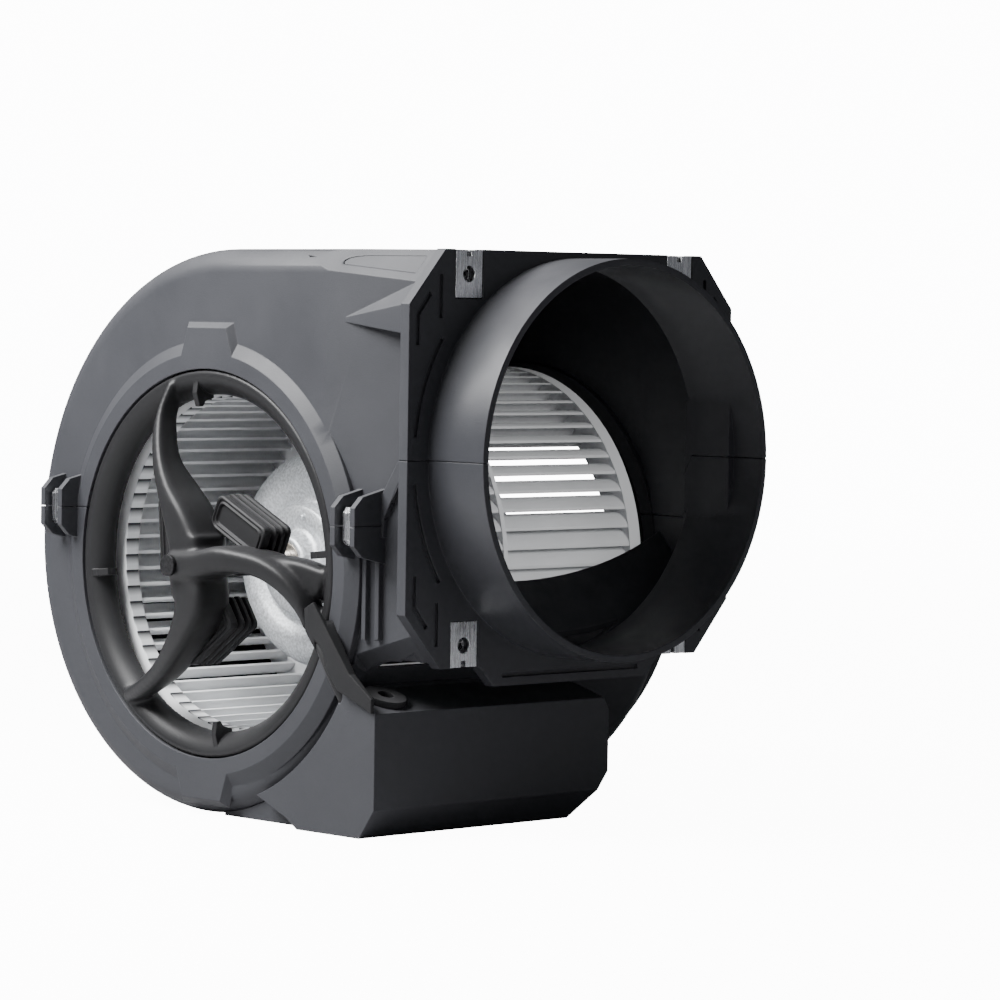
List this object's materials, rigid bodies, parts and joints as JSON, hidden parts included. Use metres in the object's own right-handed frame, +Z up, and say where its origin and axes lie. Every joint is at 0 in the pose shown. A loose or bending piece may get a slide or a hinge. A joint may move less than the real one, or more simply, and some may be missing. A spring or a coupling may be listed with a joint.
{
  "type": "double-inlet centrifugal blower unit",
  "caption": "Extractor blower with a split scroll housing, round outlet spigot on a square flange, double-inlet bladed wheel and internal motor held by a three-armed support.",
  "frame": {"origin": "centre of the outlet flange's front face, on the axis of the round spigot", "axes": "X along the wheel's axis with the motor inlet at -X, -Y the way the air leaves, +Z up; the unit stands on Z = -139.5 mm"},
  "size_m": [0.2011, 0.2491, 0.2168],
  "materials": {
    "housing_plastic": "fine-textured black polypropylene, semi-matt",
    "wheel_plastic": "light grey moulded plastic, matt",
    "support_plastic": "black moulded nylon, satin",
    "rubber": "black damper rubber",
    "cast_metal": "die-cast, bead-blasted",
    "spring_steel": "zinc-plated sheet",
    "steel": "bright turned steel",
    "laminated_steel": "stacked laminations",
    "copper": "enamelled copper wire",
    "bronze": "sintered bronze",
    "pale_plastic": "moulded insulating plastic",
    "lead_sheath": "black sheath"
  },
  "bodies": {
    "housing": {"upper_shell": "housing_plastic", "lower_shell": "housing_plastic", "far_inlet_ring": "support_plastic", "motor_support": "support_plastic", "lead_cover": "housing_plastic", "control_box": "housing_plastic", "control_box_plate": "housing_plastic", "flange_clip_nuts": "spring_steel", "seam_spring_clips": "spring_steel", "support_screw": "steel", "upper_damper": "rubber", "rear_damper": "rubber", "lower_damper": "rubber", "motor_cap_near": "cast_metal", "motor_cap_far": "cast_metal", "stator_core": "laminated_steel", "stator_windings": "copper", "motor_through_bolts": "steel", "near_bearing": "bronze", "far_bearing": "bronze", "control_box_screws": "steel", "run_capacitor": "pale_plastic", "capacitor_clamp": "spring_steel", "terminal_block": "pale_plastic", "cable_grommet": "rubber", "motor_lead": "lead_sheath"},
    "rotor": {"motor_shaft": "steel", "rotor_core": "laminated_steel", "wheel_disc": "wheel_plastic", "wheel_near_half": "wheel_plastic", "wheel_far_half": "wheel_plastic", "wheel_bush": "bronze", "wheel_nut": "steel"}
  },
  "joints": [
    {"name": "wheel_spin", "type": "hinge", "parent": "housing", "child": "rotor", "pos_m": [0, 0.1116, -0.0432], "axis": [1, 0, 0], "continuous": true}
  ]
}
